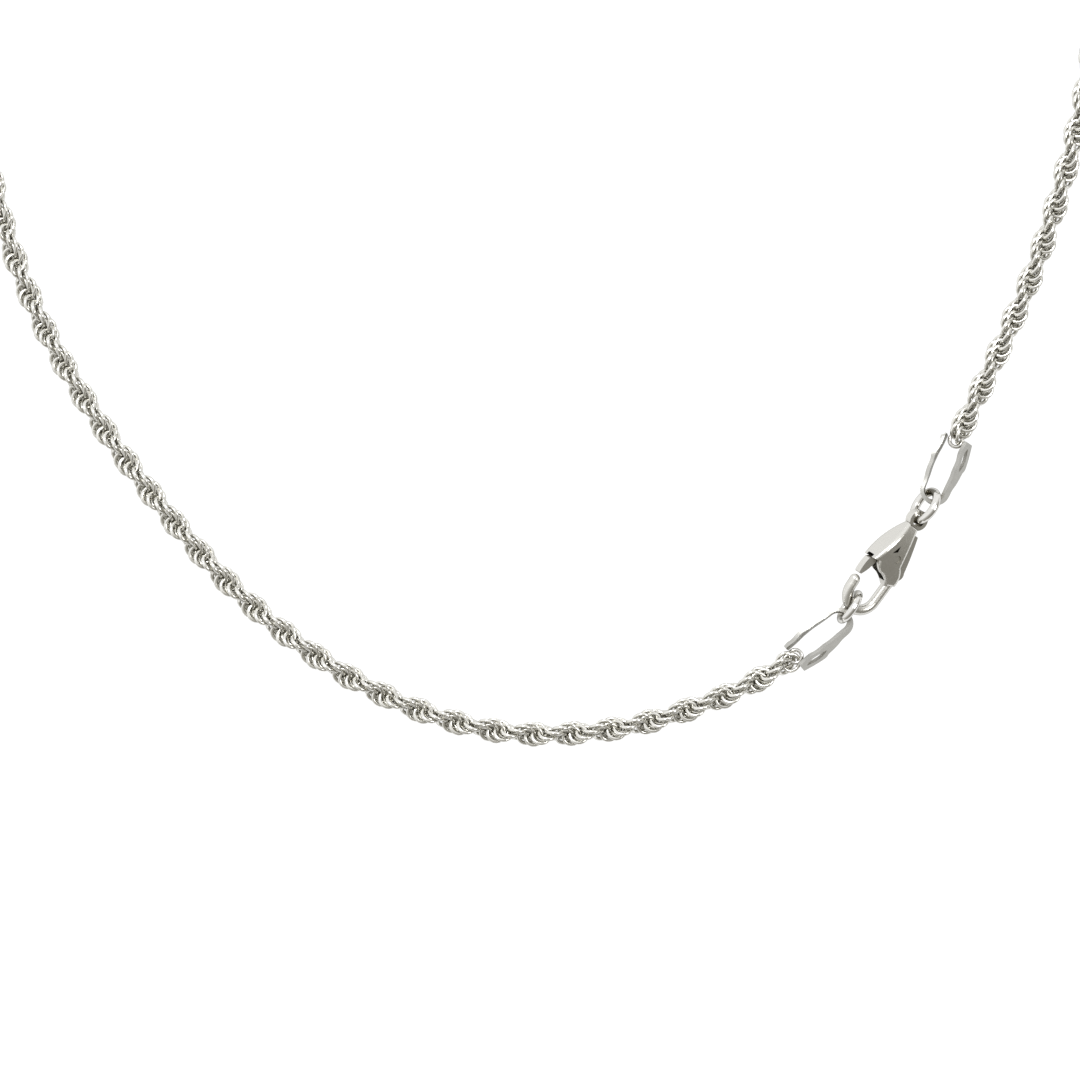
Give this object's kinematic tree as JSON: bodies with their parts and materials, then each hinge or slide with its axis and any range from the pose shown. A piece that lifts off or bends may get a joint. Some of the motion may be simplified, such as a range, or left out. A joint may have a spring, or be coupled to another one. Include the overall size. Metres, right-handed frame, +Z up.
{
  "type": "rope chain necklace",
  "caption": "Closed rope chain necklace with windowed end tags, jump rings and a lobster-claw clasp with a sprung thumb lever.",
  "frame": {"origin": "centre of the loop's footprint on the surface it lies on", "axes": "+Z up from the surface, +Y towards the far side of the loop, the clasp at +X -Y"},
  "size_m": [0.1275, 0.1455, 0.0044],
  "materials": {
    "polished_silver": "polished",
    "satin_silver": "satin",
    "spring_steel": "bright drawn wire"
  },
  "bodies": {
    "chain": {"rope": "polished_silver", "closing_end_tag": "satin_silver", "clasp_end_tag": "satin_silver", "closing_end_link": "polished_silver", "clasp_end_link": "polished_silver"},
    "closing_ring_body": {"closing_ring": "polished_silver"},
    "clasp_ring_body": {"clasp_ring": "polished_silver"},
    "clasp": {"clasp_body": "polished_silver", "lever_rivet": "polished_silver", "lever_spring": "spring_steel"},
    "lever": {"clasp_lever": "polished_silver"}
  },
  "joints": [
    {"name": "closing_ring_swing", "type": "hinge", "parent": "chain", "child": "closing_ring_body", "pos_m": [0.0337, -0.05845, 0.00217], "axis": [0, 0, 1], "range_deg": [-6, 3]},
    {"name": "clasp_ring_swing", "type": "hinge", "parent": "chain", "child": "clasp_ring_body", "pos_m": [0.04397, -0.04429, 0.0022], "axis": [0, 0, 1], "range_deg": [-7, 6]},
    {"name": "clasp_turn", "type": "hinge", "parent": "clasp_ring_body", "child": "clasp", "pos_m": [0.04207, -0.04735, 0.00225], "axis": [0, 0, 1], "range_deg": [-9, 10]},
    {"name": "lever_press", "type": "hinge", "parent": "clasp", "child": "lever", "pos_m": [0.03915, -0.05132, 0.00225], "axis": [0.403, -0.296, 0.866], "range_deg": [0, 18], "stiffness_Nm_per_rad": 0.003, "springref_deg": -20.05}
  ],
  "couplings": [
    {"joint": "clasp_turn", "follows": "clasp_ring_swing", "ratio": -1.31}
  ]
}
